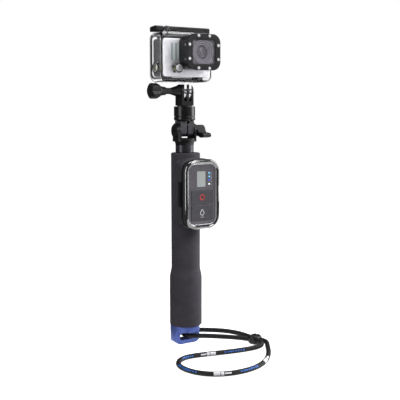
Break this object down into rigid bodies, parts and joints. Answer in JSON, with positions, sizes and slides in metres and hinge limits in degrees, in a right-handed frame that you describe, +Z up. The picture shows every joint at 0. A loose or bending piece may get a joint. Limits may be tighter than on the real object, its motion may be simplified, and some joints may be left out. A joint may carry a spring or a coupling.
{
  "type": "camera pole",
  "caption": "Telescoping hand pole with foam grip, strapped remote in a cradle, tilting and turning head, clear-cased action camera and a wrist lanyard.",
  "frame": {"origin": "centre of the end tab's flat bottom, on the axis of the telescoping tubes", "axes": "+Z up the pole, camera lens and remote face towards -Y, +X to the right seen from the lens side"},
  "size_m": [0.1296, 0.1465, 0.3586],
  "materials": {
    "aluminium_dark": "anodised black, satin",
    "grip_rubber": "matte charcoal sleeve",
    "blue_anodised": "satin blue anodised",
    "black_plastic": "moulded, fine texture",
    "black_gloss": "polished moulding",
    "dark_grey_plastic": "moulded, satin",
    "clear_plastic": "polished clear polycarbonate",
    "port_glass": "coated flat glass",
    "lens_glass": "coated lens",
    "steel": "bright steel",
    "silver_plastic": "silver paint",
    "camera_grey": "fine texture",
    "status_window": "grey-green display",
    "bezel_clear": "polished smoky rim",
    "remote_face": "smooth panel",
    "remote_screen": "grey-green display",
    "lights": "lit windows",
    "board": "circuit board",
    "battery": "wrapped cell",
    "seal": "soft seal",
    "white_plastic": "white cap",
    "cord": "braided cord"
  },
  "bodies": {
    "handle": {"handle_tube": "aluminium_dark", "foam_grip": "grip_rubber", "end_cap": "blue_anodised", "handle_bush": "black_plastic", "cradle": "dark_grey_plastic", "clip_pin": "steel", "remote_case": "dark_grey_plastic", "remote_bezel": "bezel_clear", "remote_face": "remote_face", "remote_screen": "remote_screen", "remote_lights": "lights", "remote_board": "board", "remote_battery": "battery", "lanyard_cord": "cord", "lanyard_slider": "black_gloss"},
    "clip": {"cradle_clip": "dark_grey_plastic"},
    "record_key": {"remote_record_button": "dark_grey_plastic"},
    "select_key": {"remote_mode_button": "dark_grey_plastic"},
    "mid_lock": {"mid_lock_sleeve": "black_plastic"},
    "mid_stage": {"mid_lock_spindle": "black_plastic", "mid_tube": "aluminium_dark", "mid_tube_bush": "black_plastic"},
    "inner_lock": {"inner_lock_sleeve": "black_plastic"},
    "inner_stage": {"inner_lock_spindle": "black_plastic", "inner_tube": "aluminium_dark", "neck_ferrule": "black_plastic", "yoke": "black_plastic", "tilt_bolt": "black_plastic"},
    "lever": {"tilt_lever": "black_plastic"},
    "tongue": {"tongue_half_left": "black_plastic", "tongue_half_right": "black_plastic"},
    "collar": {"lock_ring": "black_gloss"},
    "swivel": {"swivel_post": "steel", "friction_washer": "seal", "prong_adapter": "black_plastic", "thumb_nut": "steel"},
    "thumb_screw": {"thumb_bolt": "steel", "thumb_knob": "black_plastic"},
    "case": {"case_front": "clear_plastic", "hinge_pin": "steel", "latch_pin": "steel", "port_box": "black_plastic", "port_plate": "black_plastic", "port_glass": "port_glass", "port_seal": "seal", "port_screws": "steel", "camera_body": "camera_grey", "camera_front_plate": "silver_plastic", "camera_status_window": "status_window", "camera_power_button": "black_gloss", "camera_lens_barrel": "black_gloss", "camera_lens_glass": "lens_glass", "camera_battery": "battery", "mode_spring": "steel"},
    "door": {"case_door": "clear_plastic", "door_seal": "seal"},
    "latch": {"case_latch": "black_plastic"},
    "shutter_key": {"shutter_button": "steel"},
    "front_key": {"mode_button": "white_plastic"},
    "side_key": {"side_button": "steel"}
  },
  "joints": [
    {"name": "mid_slide", "type": "slide", "parent": "handle", "child": "mid_lock", "axis": [0, 0, 1], "range_m": [0, 0.14]},
    {"name": "mid_twist_lock", "type": "hinge", "parent": "mid_lock", "child": "mid_stage", "pos_m": [0, 0, 0.06], "axis": [0, 0, 1], "range_deg": [-90, 0]},
    {"name": "inner_slide", "type": "slide", "parent": "mid_stage", "child": "inner_lock", "axis": [0, 0, 1], "range_m": [0, 0.115]},
    {"name": "inner_twist_lock", "type": "hinge", "parent": "inner_lock", "child": "inner_stage", "pos_m": [0, 0, 0.09], "axis": [0, 0, 1], "range_deg": [-90, 0]},
    {"name": "tilt", "type": "hinge", "parent": "inner_stage", "child": "tongue", "pos_m": [0, 0, 0.244], "axis": [1, 0, 0], "range_deg": [-75, 75]},
    {"name": "tilt_lever_turn", "type": "hinge", "parent": "inner_stage", "child": "lever", "pos_m": [0.018, 0, 0.244], "axis": [-1, 0, 0], "range_deg": [0, 120]},
    {"name": "lock_ring_turn", "type": "hinge", "parent": "tongue", "child": "collar", "pos_m": [0, 0, 0.262], "axis": [0, 0, 1], "range_deg": [-90, 90]},
    {"name": "pan", "type": "hinge", "parent": "tongue", "child": "swivel", "pos_m": [0, 0, 0.262], "axis": [0, 0, 1], "range_deg": [-180, 180]},
    {"name": "thumb_screw_turn", "type": "hinge", "parent": "swivel", "child": "thumb_screw", "pos_m": [-0.02, 0, 0.288], "axis": [1, 0, 0], "continuous": true},
    {"name": "case_tilt", "type": "hinge", "parent": "swivel", "child": "case", "pos_m": [0, 0, 0.288], "axis": [1, 0, 0], "range_deg": [-60, 60]},
    {"name": "door_hinge", "type": "hinge", "parent": "case", "child": "door", "pos_m": [-0.004, 0.0156, 0.2996], "axis": [-1, 0, 0], "range_deg": [0, 100]},
    {"name": "latch_hinge", "type": "hinge", "parent": "case", "child": "latch", "pos_m": [-0.023, 0.0006, 0.3564], "axis": [1, 0, 0], "range_deg": [0, 70]},
    {"name": "shutter_press", "type": "slide", "parent": "case", "child": "shutter_key", "axis": [0, 0, -1], "range_m": [0, 0.0007], "stiffness_N_per_m": 400},
    {"name": "front_press", "type": "slide", "parent": "case", "child": "front_key", "axis": [0, 1, 0], "range_m": [0, 0.0008], "stiffness_N_per_m": 400},
    {"name": "side_press", "type": "slide", "parent": "case", "child": "side_key", "axis": [1, 0, 0], "range_m": [0, 0.0007], "stiffness_N_per_m": 400},
    {"name": "record_press", "type": "slide", "parent": "handle", "child": "record_key", "axis": [0, 1, 0], "range_m": [0, 0.0006], "stiffness_N_per_m": 500},
    {"name": "select_press", "type": "slide", "parent": "handle", "child": "select_key", "axis": [0, 1, 0], "range_m": [0, 0.0006], "stiffness_N_per_m": 500},
    {"name": "clip_hinge", "type": "hinge", "parent": "handle", "child": "clip", "pos_m": [-0.017, -0.02, 0.1755], "axis": [0, 0, -1], "range_deg": [0, 24], "stiffness_Nm_per_rad": 0.05}
  ]
}
